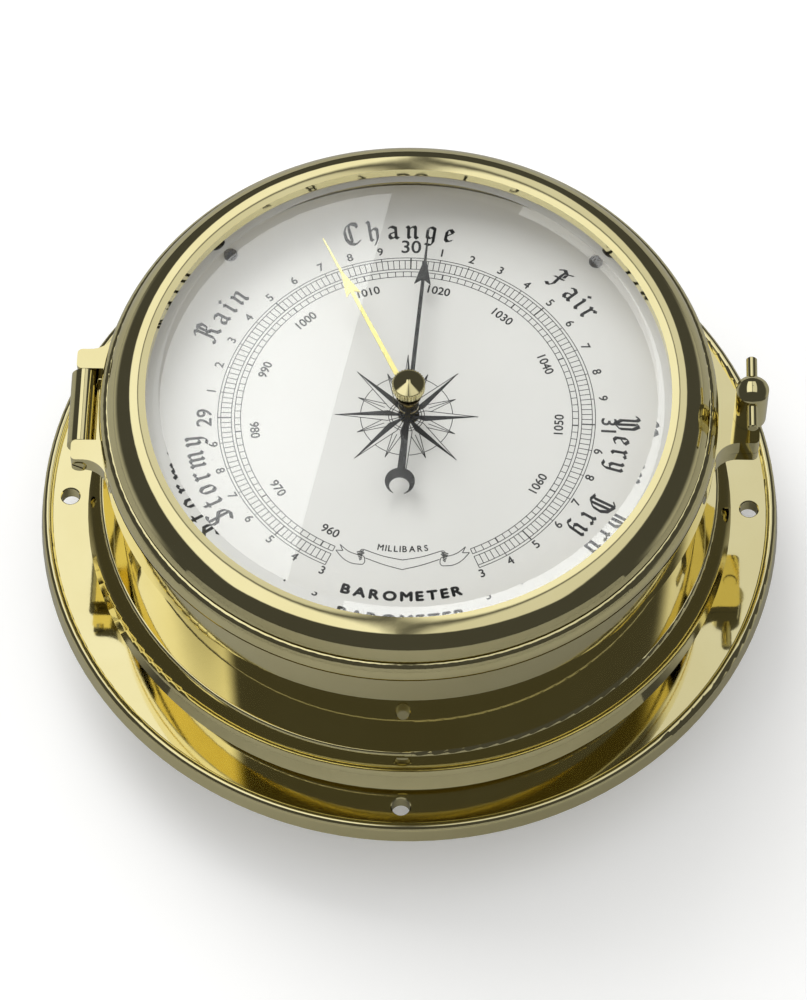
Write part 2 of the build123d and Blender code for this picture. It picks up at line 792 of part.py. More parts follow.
with BuildPart() as bridge_screws:
    rod(screw_radius, lower_bridge_base - screw_bite, lower_bridge_top, lower_pillar_places)
    rod(screw_head_radius, lower_bridge_top, lower_bridge_top + screw_head_height,
        lower_pillar_places)
    slots(lower_pillar_places, lower_bridge_top + screw_head_height, screw_head_radius)
    rod(screw_radius, lower_bridge_top, top_bridge_top, top_pillar_places)
    rod(screw_head_radius, top_bridge_top, top_bridge_top + screw_head_height, top_pillar_places)
    slots(top_pillar_places, top_bridge_top + screw_head_height, screw_head_radius)
finish(bridge_screws, "bridge_screws")

# ---------------------------------------------------------------- capsule and main spring
rippled_radius = capsule_radius - capsule_edge_width
ripple_pitch = (rippled_radius - capsule_boss_radius) / (2 * ripple_count)


def diaphragm(height, side):
    """Draws one rippled diaphragm line from the boss out to the rolled edge."""
    Line((0, height), (capsule_boss_radius, height))
    for i in range(2 * ripple_count):
        start = capsule_boss_radius + i * ripple_pitch
        swing = side * ripple_depth * (1 if i % 2 else -1)
        ThreePointArc(
            (start, height),
            (start + ripple_pitch / 2, height + swing),
            (start + ripple_pitch, height),
        )


def capsule_section(low, high):
    """Draws the closed half outline between two diaphragm heights."""
    rolled_edge = 0.8 * ((high - low) / 2 - 1.5)
    with BuildSketch(SECTION) as outline:
        with BuildLine():
            Line((0, low), (0, high))
            diaphragm(high, 1)
            diaphragm(low, -1)
            ThreePointArc(
                (rippled_radius, high),
                (rippled_radius + rolled_edge, (low + high) / 2),
                (rippled_radius, low),
            )
        make_face()
    return outline.sketch


with BuildPart() as aneroid_capsule:
    revolve(capsule_section(capsule_base, capsule_top), axis=Axis.Y)
    revolve(
        capsule_section(capsule_base + capsule_skin, capsule_top - capsule_skin),
        axis=Axis.Y, mode=Mode.SUBTRACT,
    )
    rod(capsule_boss_radius, plate_top, capsule_base)
finish(aneroid_capsule, "aneroid_capsule")

with BuildPart() as capsule_post:
    rod(capsule_post_radius, capsule_top, spring_top + capsule_post_proud)
finish(capsule_post, "capsule_post")

with BuildPart() as spring_stand:
    block((stand_x - stand_length / 2, -spring_width / 2),
          (stand_x + stand_length / 2, spring_width / 2), plate_top, stand_top)
    rod(adjuster_radius + running_clearance, plate_top, stand_top,
        [(adjuster_x, 0)], Mode.SUBTRACT)
finish(spring_stand, "spring_stand")

bend_centre = (stand_top + spring_top) / 2
bend_outer = (spring_top - stand_top) / 2
bend_inner = bend_outer - spring_thickness
foot_x = stand_x + stand_length / 2
with BuildPart() as main_spring:
    with BuildSketch(ALONG_Z.offset(-spring_width / 2)):
        with BuildLine():
            for half_height in (bend_outer, bend_inner):
                ThreePointArc(
                    (spring_bend_x, -bend_centre - half_height),
                    (spring_bend_x - half_height, -bend_centre),
                    (spring_bend_x, -bend_centre + half_height),
                )
                Line((spring_bend_x, -bend_centre - half_height),
                     (spring_tip_x, -bend_centre - half_height))
                Line((spring_bend_x, -bend_centre + half_height),
                     (foot_x, -bend_centre + half_height))
            Line((spring_tip_x, -bend_centre - bend_outer), (spring_tip_x, -bend_centre - bend_inner))
            Line((foot_x, -bend_centre + bend_outer), (foot_x, -bend_centre + bend_inner))
        make_face()
    extrude(amount=spring_width)
    rod(capsule_post_radius, spring_top - spring_thickness, spring_top, mode=Mode.SUBTRACT)
finish(main_spring, "main_spring")

# ---------------------------------------------------------------- lever, rocker and chain
ear_inner = lever_width / 2 + ear_gap
ear_outer = ear_inner + ear_thickness
ear_low = (lever_z - ear_outer, lever_z - ear_inner)
ear_high = (lever_z + ear_inner, lever_z + ear_outer)
with BuildPart() as lever_bracket:
    block((lever_pivot_x - bracket_half_width, ear_low[0]),
          (lever_pivot_x + bracket_half_width, ear_high[1]),
          spring_top, spring_top + bracket_thickness)
    for low_z, high_z in (ear_low, ear_high):
        block((lever_pivot_x - ear_half_width, low_z), (lever_pivot_x + ear_half_width, high_z),
              spring_top, lever_height + ear_rise)
    cross_rod(lever_pivot_radius + running_clearance, lever_pivot_x, lever_height,
              ear_low[0], ear_high[1], Mode.SUBTRACT)
finish(lever_bracket, "lever_bracket")

with BuildPart() as main_lever:
    lever_low = lever_height - lever_thickness / 2
    lever_high = lever_height + lever_thickness / 2
    cross_rod(lever_pivot_radius, lever_pivot_x, lever_height, ear_low[0], ear_high[1])
    cross_rod(lever_boss_radius, lever_pivot_x, lever_height,
              lever_z - lever_width / 2, lever_z + lever_width / 2)
    block((lever_pivot_x, lever_z - lever_width / 2),
          (link_x + lever_tip, lever_z + lever_width / 2), lever_low, lever_high)
    rod(link_radius, lever_low, lever_high, [(link_x, lever_z)], Mode.SUBTRACT)
finish(main_lever, "main_lever")

with BuildPart() as rocker_posts:
    post_top = rocker_height + rocker_post_rise
    post_left = rocker_x - rocker_post_width / 2
    post_right = rocker_x + rocker_post_width / 2
    outer_low_z = rocker_post_low_z - rocker_post_thickness
    outer_high_z = rocker_post_high_z + rocker_post_thickness
    block((post_left, outer_low_z), (post_right, outer_high_z),
          plate_top, plate_top + rocker_foot_thickness)
    block((post_left, outer_low_z), (post_right, rocker_post_low_z), plate_top, post_top)
    block((post_left, rocker_post_high_z), (post_right, outer_high_z), plate_top, post_top)
    cross_rod(rocker_shaft_radius + running_clearance, rocker_x, rocker_height,
              outer_low_z, outer_high_z, Mode.SUBTRACT)
finish(rocker_posts, "rocker_posts")

with BuildPart() as rocker_arbor:
    crank_low = rocker_height - rocker_bar / 2
    crank_high = rocker_height + rocker_bar / 2
    cross_rod(rocker_shaft_radius, rocker_x, rocker_height, outer_low_z, outer_high_z)
    block((rocker_x, lever_z - rocker_crank_width / 2),
          (link_x - link_eye_radius, lever_z + rocker_crank_width / 2), crank_low, crank_high)
    rod(link_eye_radius + link_eye_wall, crank_low, crank_high, [(link_x, lever_z)])
    rod(link_eye_radius, crank_low, crank_high, [(link_x, lever_z)], Mode.SUBTRACT)
    block((rocker_x - rocker_arm_width / 2, arm_low_z),
          (rocker_x + rocker_arm_width / 2, arm_low_z + rocker_arm_thickness),
          rocker_height, chain_height + rocker_arm_tip)
    cross_rod(chain_pin_radius, rocker_x, chain_height, chain_z - chain_thickness, arm_low_z)
finish(rocker_arbor, "rocker_arbor")

with BuildPart() as link_rod:
    rod(link_radius, rocker_height - link_tail, lever_high, [(link_x, lever_z)])
finish(link_rod, "link_rod")

with BuildPart() as pull_chain:
    chain_low = chain_z - chain_thickness / 2
    chain_high = chain_z + chain_thickness / 2
    cross_rod(chain_eye_radius, rocker_x, chain_height, chain_low, chain_high)
    block((chain_start, chain_low), (rocker_x, chain_high),
          chain_height - chain_bar / 2, chain_height + chain_bar / 2)
    for i in range(int((rocker_x - chain_start) / chain_link_pitch)):
        cross_rod(chain_link_radius, chain_start + i * chain_link_pitch, chain_height,
                  chain_low, chain_high)
    cross_rod(chain_pin_radius + running_clearance, rocker_x, chain_height,
              chain_low, chain_high, Mode.SUBTRACT)
finish(pull_chain, "pull_chain")

# ---------------------------------------------------------------- hairspring and adjusting screw
def spiral(inner_radius):
    """Points of an even spiral with the hairspring's pitch."""
    steps = 16 * hairspring_turns
    return [
        polar(inner_radius + hairspring_pitch * i / 16, 90 + 22.5 * i) for i in range(steps + 1)
    ]


with BuildPart() as hairspring:
    inner_points = spiral(hairspring_inner_radius)
    outer_points = spiral(hairspring_inner_radius + hairspring_ribbon)
    with BuildSketch(FACE.offset(hairspring_base)):
        with BuildLine():
            Spline(*inner_points)
            Spline(*outer_points)
            Line(inner_points[0], outer_points[0])
            Line(inner_points[-1], outer_points[-1])
        make_face()
    extrude(amount=hairspring_height)
    rod(hairspring_stud_radius, hairspring_base, top_bridge_base,
        [(0, outer_points[-1][1] + hairspring_ribbon)])
finish(hairspring, "hairspring")

with BuildPart() as adjusting_screw:
    adjuster_place = [(adjuster_x, 0)]
    head_low = plate_base - running_clearance * 2 - adjuster_head_height
    rod(adjuster_head_radius, head_low, head_low + adjuster_head_height, adjuster_place)
    rod(adjuster_radius, head_low, stand_top - loose_clearance, adjuster_place)
    slots(adjuster_place, head_low + screw_slot_depth, adjuster_head_radius)
finish(adjusting_screw, "adjusting_screw")
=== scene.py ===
"""Looks for the ship's barometer: camera, studio, materials, dial printing and fine detail.

Everything is in metres in the CAD frame: X to three o'clock, Z to twelve, the dial faces -Y.
"""

import math

import bmesh
import bpy
from mathutils import Matrix, Vector


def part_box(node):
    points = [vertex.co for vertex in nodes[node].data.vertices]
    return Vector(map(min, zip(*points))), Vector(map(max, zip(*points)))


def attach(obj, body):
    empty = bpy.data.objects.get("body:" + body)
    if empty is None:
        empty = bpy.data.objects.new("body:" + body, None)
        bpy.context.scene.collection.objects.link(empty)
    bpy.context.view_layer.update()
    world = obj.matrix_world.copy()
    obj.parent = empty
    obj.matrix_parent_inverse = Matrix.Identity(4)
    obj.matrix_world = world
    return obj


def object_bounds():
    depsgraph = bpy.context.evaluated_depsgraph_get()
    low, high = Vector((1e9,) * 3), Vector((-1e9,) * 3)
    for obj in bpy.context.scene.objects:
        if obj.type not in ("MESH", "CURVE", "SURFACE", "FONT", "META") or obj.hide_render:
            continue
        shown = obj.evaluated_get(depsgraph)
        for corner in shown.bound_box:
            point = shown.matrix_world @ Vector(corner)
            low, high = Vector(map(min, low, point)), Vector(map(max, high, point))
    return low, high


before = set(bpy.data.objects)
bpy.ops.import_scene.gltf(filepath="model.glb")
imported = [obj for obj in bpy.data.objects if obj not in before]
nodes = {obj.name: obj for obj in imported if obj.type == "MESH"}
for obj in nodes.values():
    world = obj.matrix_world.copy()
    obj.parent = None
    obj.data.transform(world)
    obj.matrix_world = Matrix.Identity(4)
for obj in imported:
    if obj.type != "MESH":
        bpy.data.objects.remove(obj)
cad_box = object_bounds()
MM = 0.001


# ---------------------------------------------------------------- node helpers
def new_material(name):
    """An empty node material with its output and a Principled shader."""
    material = bpy.data.materials.new(name)
    material.use_nodes = True
    tree = material.node_tree
    shader = tree.nodes["Principled BSDF"]
    return material, tree, shader


def noise(tree, scale, detail=4.0, roughness=0.55, stretch=None):
    """A noise texture in object space; stretch scales the coordinates first."""
    coords = tree.nodes.new("ShaderNodeTexCoord")
    texture = tree.nodes.new("ShaderNodeTexNoise")
    texture.inputs["Scale"].default_value = scale
    texture.inputs["Detail"].default_value = detail
    texture.inputs["Roughness"].default_value = roughness
    if stretch is None:
        tree.links.new(coords.outputs["Object"], texture.inputs["Vector"])
    else:
        mapping = tree.nodes.new("ShaderNodeMapping")
        mapping.inputs["Scale"].default_value = stretch
        tree.links.new(coords.outputs["Object"], mapping.inputs["Vector"])
        tree.links.new(mapping.outputs["Vector"], texture.inputs["Vector"])
    return texture.outputs["Fac"]


def ramp(tree, value, stops):
    """A colour ramp through (position, colour) stops."""
    node = tree.nodes.new("ShaderNodeValToRGB")
    elements = node.color_ramp.elements
    while len(elements) < len(stops):
        elements.new(0.5)
    for element, (position, colour) in zip(elements, stops):
        element.position = position
        element.color = (*colour, 1)
    tree.links.new(value, node.inputs["Fac"])
    return node.outputs["Color"]


def spread(tree, value, low, high, start=0.3, end=0.7):
    """Maps a noise value onto a range."""
    node = tree.nodes.new("ShaderNodeMapRange")
    node.inputs["From Min"].default_value = start
    node.inputs["From Max"].default_value = end
    node.inputs["To Min"].default_value = low
    node.inputs["To Max"].default_value = high
    tree.links.new(value, node.inputs["Value"])
    return node.outputs["Result"]


def add_bump(tree, shader, value, strength, distance):
    """Feeds a height into the shader's normal."""
    node = tree.nodes.new("ShaderNodeBump")
    node.inputs["Strength"].default_value = strength
    node.inputs["Distance"].default_value = distance
    tree.links.new(value, node.inputs["Height"])
    tree.links.new(node.outputs["Normal"], shader.inputs["Normal"])


def math_node(tree, operation, first, second=None):
    """A maths node fed by links or plain numbers."""
    node = tree.nodes.new("ShaderNodeMath")
    node.operation = operation
    for socket, value in zip(node.inputs, (first, second)):
        if isinstance(value, (int, float)):
            socket.default_value = value
        elif value is not None:
            tree.links.new(value, socket)
    return node.outputs[0]


def mix_shaders(tree, share, first, second):
    """Sends a blend of two shaders to the surface; share picks how much of the second."""
    mix = tree.nodes.new("ShaderNodeMixShader")
    tree.links.new(share, mix.inputs[0])
    tree.links.new(first.outputs[0], mix.inputs[1])
    tree.links.new(second.outputs[0], mix.inputs[2])
    tree.links.new(mix.outputs[0], tree.nodes["Material Output"].inputs["Surface"])


def new_piece(name, points, faces, material):
    """A mesh object in the scene, with one material."""
    mesh = bpy.data.meshes.new(name)
    mesh.from_pydata(points, [], faces)
    mesh.materials.append(material)
    mesh.update()
    piece = bpy.data.objects.new(name, mesh)
    bpy.context.scene.collection.objects.link(piece)
    return piece


def metal(name, light, dark, rough, wave=None, bump=0.0):
    """A metal whose tint and polish vary a little; wave adds lathe or brush lines."""
    material, tree, shader = new_material(name)
    shader.inputs["Metallic"].default_value = 1.0
    tint = noise(tree, 35.0, detail=6.0)
    tree.links.new(ramp(tree, tint, [(0.3, dark), (0.7, light)]), shader.inputs["Base Color"])
    polish = noise(tree, 160.0, detail=8.0, roughness=0.7)
    tree.links.new(spread(tree, polish, rough[0], rough[1]), shader.inputs["Roughness"])
    if wave:
        lines = noise(tree, 1.0, detail=2.0, stretch=wave)
        add_bump(tree, shader, lines, 0.25, 0.00004)
    elif bump:
        add_bump(tree, shader, noise(tree, 2500.0, detail=3.0), bump, 0.00002)
    return material


# ---------------------------------------------------------------- materials
polished_brass = metal("polished_brass", (0.90, 0.82, 0.46), (0.85, 0.76, 0.40), (0.025, 0.06), bump=0.03)
satin_brass = metal("satin_brass", (0.72, 0.60, 0.30), (0.60, 0.48, 0.22), (0.25, 0.40),
                    wave=(3000.0, 60.0, 60.0))
hand_brass = metal("hand_brass", (0.70, 0.62, 0.26), (0.58, 0.50, 0.19), (0.22, 0.35),
                   wave=(1500.0, 100.0, 200.0))
# painted reflection: the knob bush gets a near-black brass colour standing in for the dark reflection it
# shows
dark_brass = metal("dark_brass", (0.20, 0.15, 0.07), (0.12, 0.09, 0.04), (0.2, 0.35), bump=0.1)
turned_steel = metal("turned_steel", (0.66, 0.66, 0.67), (0.55, 0.55, 0.57), (0.18, 0.32),
                     wave=(2500.0, 200.0, 200.0))
blued_steel = metal("blued_steel", (0.16, 0.15, 0.14), (0.09, 0.09, 0.10), (0.20, 0.35), bump=0.1)
nickel_silver = metal("nickel_silver", (0.78, 0.77, 0.74), (0.68, 0.67, 0.64), (0.15, 0.28), bump=0.1)


def painted(name, light, dark, rough, scale, bump, coat=0.0):
    """Paint or enamel with a faint mottle and orange peel."""
    material, tree, shader = new_material(name)
    tone = noise(tree, scale, detail=5.0)
    tree.links.new(ramp(tree, tone, [(0.3, dark), (0.7, light)]), shader.inputs["Base Color"])
    gloss = noise(tree, scale * 3, detail=4.0)
    tree.links.new(spread(tree, gloss, rough[0], rough[1]), shader.inputs["Roughness"])
    shader.inputs["Coat Weight"].default_value = coat
    add_bump(tree, shader, noise(tree, scale * 20, detail=2.0), bump, 0.00003)
    return material


dial_enamel = painted("dial_enamel", (0.80, 0.79, 0.76), (0.765, 0.755, 0.725), (0.40, 0.52), 18.0, 0.05)
printing_ink = painted("printing_ink", (0.020, 0.020, 0.020), (0.012, 0.012, 0.012), (0.40, 0.55),
                       400.0, 0.05)
hand_black = painted("hand_black", (0.022, 0.021, 0.020), (0.012, 0.012, 0.012), (0.16, 0.26),
                     300.0, 0.03, coat=0.4)
soft_rubber = painted("soft_rubber", (0.03, 0.03, 0.03), (0.018, 0.018, 0.018), (0.6, 0.8), 300.0, 0.2)
wall_paint = painted("wall_paint", (0.93, 0.93, 0.92), (0.90, 0.90, 0.89), (0.6, 0.75), 3.0, 0.05)


def make_glass():
    """Clear glass with a trace of handling marks; light for the dial passes straight through."""
    material, tree, shader = new_material("bevelled_glass")
    shader.inputs["Base Color"].default_value = (0.97, 0.985, 0.975, 1)
    shader.inputs["Transmission Weight"].default_value = 1.0
    shader.inputs["IOR"].default_value = 1.5
    marks = noise(tree, 90.0, detail=8.0, roughness=0.8)
    tree.links.new(spread(tree, marks, 0.0, 0.02, 0.55, 0.8), shader.inputs["Roughness"])
    clear = tree.nodes.new("ShaderNodeBsdfTransparent")
    path = tree.nodes.new("ShaderNodeLightPath")
    either = math_node(tree, "MAXIMUM", path.outputs["Is Shadow Ray"], path.outputs["Is Diffuse Ray"])
    mix_shaders(tree, either, shader, clear)
    return material


bevelled_glass = make_glass()

finishes = {
    polished_brass: ["case_body", "bezel_ring", "hinge_screw", "locking_screw", "tommy_bar", "set_knob"],
    satin_brass: ["back_cover", "dial_posts", "movement_plate", "bridge_pillars", "lower_bridge",
                  "top_bridge", "spring_stand", "lever_bracket", "rocker_posts",
                  "glass_retaining_ring", "hand_hub"],
    # the knob bush's near-black colour is a painted reflection
    dark_brass: ["knob_bush"],
    hand_brass: ["set_hand"],
    turned_steel: ["back_cover_screws", "movement_screws", "main_spring", "hand_arbor",
                   "rocker_arbor", "link_rod", "pull_chain", "main_lever", "adjusting_screw",
                   "capsule_post"],
    blued_steel: ["dial_screws", "bridge_screws", "hairspring"],
    nickel_silver: ["aneroid_capsule"],
    dial_enamel: ["dial_plate"],
    hand_black: ["indicator_hand"],
    soft_rubber: ["glass_gasket"],
    bevelled_glass: ["glass"],
}
for material, names in finishes.items():
    for name in names:
        surfaces = nodes[name].data.materials
        surfaces.clear()
        surfaces.append(material)


# ---------------------------------------------------------------- dial printing
# everything printed is in millimetres across the dial, and angles run anticlockwise
dial_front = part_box("dial_plate")[0][1]
PRINT_Y = dial_front - 0.02 * MM
scale_radius = 52.06
inch_bands = (scale_radius, 51.2, 48.3)
millibar_bands = (47.4, 45.75)
fine_line = 0.22
thick_line = 0.40
# the printing sits a little off the middle of its plate
print_centre = (-0.6, -0.4)
first_inch = 28.3
last_inch = 31.7
inch_step = 0.02
tenth_height = 2.55
tenth_radius = 54.6
outer_tenth_radius = 53.9
inch_height = 4.3
inch_radius = 55.8
millibar_height = 2.6
millibar_radius = 42.0
figure_weight = 0.13
# figures turn the other way up once they are this far below the middle
flip_scale = -0.06
flip_millibars = -0.02
letter_gap = 0.16
MILLIBARS_PER_INCH = 33.8639
DEGREES_PER_INCH = 92.0


def inch_angle(inches):
    """The dial angle of a reading, counterclockwise from three o'clock, in radians."""
    return math.radians(90 - (inches - 30) * DEGREES_PER_INCH)


def letter_mesh(body):
    """Flat faces of some built-in sans lettering, one unit tall."""
    curve = bpy.data.curves.new("lettering", "FONT")
    curve.body = body
    curve.size = 1.0
    curve.resolution_u = 6
    holder = bpy.data.objects.new("lettering", curve)
    mesh = bpy.data.meshes.new_from_object(holder)
    bpy.data.objects.remove(holder)
    bpy.data.curves.remove(curve)
    return mesh


def letter_width(letter):
    """How wide a letter's face is."""
    mesh = letter_mesh(letter)
    across = [v.co.x for v in mesh.vertices]
    bpy.data.meshes.remove(mesh)
    return max(across) - min(across)


class Printing:
    """Collects flat ink shapes, in millimetres on the dial, into one mesh."""

    def __init__(self):
        self.points = []
        self.faces = []

    def polygon(self, corners):
        """One flat face."""
        start = len(self.points)
        self.points.extend(corners)
        self.faces.append(list(range(start, start + len(corners))))

    def line(self, a, b, width):
        """A straight stroke."""
        dx, dz = b[0] - a[0], b[1] - a[1]
        length = math.hypot(dx, dz)
        if length == 0:
            return
        nx, nz = -dz / length * width / 2, dx / length * width / 2
        self.polygon([(a[0] + nx, a[1] + nz), (a[0] - nx, a[1] - nz),
                      (b[0] - nx, b[1] - nz), (b[0] + nx, b[1] + nz)])

    def path(self, points, width):
        """Strokes from point to point."""
        for a, b in zip(points, points[1:]):
            self.line(a, b, width)

    def arc(self, radius, start, end, width):
        """A stroke along a circle round the middle."""
        steps = max(8, int(abs(end - start) * radius / 0.6))
        for i in range(steps):
            a = start + (end - start) * i / steps
            b = start + (end - start) * (i + 1) / steps
            inner, outer = radius - width / 2, radius + width / 2
            self.polygon([(inner * math.cos(a), inner * math.sin(a)),
                          (outer * math.cos(a), outer * math.sin(a)),
                          (outer * math.cos(b), outer * math.sin(b)),
                          (inner * math.cos(b), inner * math.sin(b))])

    def tick(self, angle, inner, outer, width):
        """A short stroke along a radius."""
        direction = (math.cos(angle), math.sin(angle))
        self.line((direction[0] * inner, direction[1] * inner),
                  (direction[0] * outer, direction[1] * outer), width)

    def text(self, body, size, place, turn, weight=0.0, stretch=1.0):
        """Adds built-in sans lettering centred on a place, turned by an angle in radians."""
        mesh = letter_mesh(body)
        low = min(v.co.y for v in mesh.vertices)
        high = max(v.co.y for v in mesh.vertices)
        left = min(v.co.x for v in mesh.vertices)
        right = max(v.co.x for v in mesh.vertices)
        scale = (size - weight) / (high - low)
        cosine, sine = math.cos(turn), math.sin(turn)
        start = len(self.points)
        for v in mesh.vertices:
            x = (v.co.x - (left + right) / 2) * scale * stretch
            z = (v.co.y - (low + high) / 2) * scale
            self.points.append((place[0] + x * cosine - z * sine, place[1] + x * sine + z * cosine))
        uses = {}
        for face in mesh.polygons:
            self.faces.append([start + i for i in face.vertices])
            for key in face.edge_keys:
                uses[key] = uses.get(key, 0) + 1
        outline = [key for key, count in uses.items() if count == 1]
        if weight:
            for a, b in outline:
                self.line(self.points[start + a], self.points[start + b], weight)
        bpy.data.meshes.remove(mesh)

    def around(self, body, size, radius, angle, weight, flip_below):
        """A figure centred at an angle on a circle; low on the dial its top points inward."""
        place = (radius * math.cos(angle), radius * math.sin(angle))
        flip = math.pi if math.sin(angle) < flip_below else 0.0
        self.text(body, size, place, angle - math.pi / 2 + flip, weight)

    def along(self, body, size, radius, middle, sweep, weight, stretch=1.0):
        """Spreads letters anticlockwise along a circle below the centre, tops pointing inward."""
        widths = [letter_width(c) for c in body]
        total = sum(widths) + letter_gap * (len(body) - 1)
        travelled = 0.0
        for c, width in zip(body, widths):
            share = (travelled + width / 2) / total - 0.5
            angle = middle + share * sweep
            place = (radius * math.cos(angle), radius * math.sin(angle))
            self.text(c, size, place, angle + math.pi / 2, weight, stretch)
            travelled += width + letter_gap

    def make(self, name, y, material):
        """The mesh of all shapes so far, at one depth, facing the viewer."""
        points = [
            ((x + print_centre[0]) * MM, y, (z + print_centre[1]) * MM) for x, z in self.points
        ]
        piece = new_piece(name, points, self.faces, material)
        bm = bmesh.new()
        bm.from_mesh(piece.data)
        for face in bm.faces:
            if face.normal.y > 0:
                face.normal_flip()
        bm.to_mesh(piece.data)
        bm.free()
        return piece


def print_scales(ink):
    """The inch and millibar bands with their divisions and figures."""
    start, end = inch_angle(first_inch), inch_angle(last_inch)
    for radius in inch_bands + millibar_bands:
        ink.arc(radius, start, end, fine_line)
    divisions = round((last_inch - first_inch) / inch_step)
    for i in range(divisions + 1):
        reading = first_inch + i * inch_step
        tenth = i % 5 == 0
        half = abs(reading * 2 - round(reading * 2)) < 0.001
        outer = inch_bands[0] if tenth else inch_bands[1]
        ink.tick(inch_angle(reading), inch_bands[2], outer, thick_line if half else fine_line)
    for millibars in range(math.ceil(first_inch * MILLIBARS_PER_INCH),
                           math.floor(last_inch * MILLIBARS_PER_INCH) + 1):
        angle = inch_angle(millibars / MILLIBARS_PER_INCH)
        width = thick_line if millibars % 10 == 0 else fine_line
        ink.tick(angle, millibar_bands[1], millibar_bands[0], width)
    for reading in (first_inch, last_inch):
        ink.tick(inch_angle(reading), inch_bands[2], inch_bands[0], fine_line)
        ink.tick(inch_angle(reading), millibar_bands[1], millibar_bands[0], fine_line)
    for millibars in range(960, 1061, 10):
        ink.around(str(millibars), millibar_height, millibar_radius,
                   inch_angle(millibars / MILLIBARS_PER_INCH), figure_weight, flip_millibars)
    for tenth in range(1, 10):
        for inches in (29, 30):
            ink.around(str(tenth), tenth_height, tenth_radius,
                       inch_angle(inches + tenth / 10), figure_weight, flip_scale)
    for tenth in range(3, 10):
        # the figures past 31 run backwards on the real dial: 9 down to 3
        for reading in (28 + tenth / 10, 32 - tenth / 10):
            ink.around(str(tenth), tenth_height, outer_tenth_radius,
                       inch_angle(reading), figure_weight, flip_scale)
    for inches in (29, 30, 31):
        ink.around(str(inches), inch_height, inch_radius, inch_angle(inches), 0.16, flip_scale)


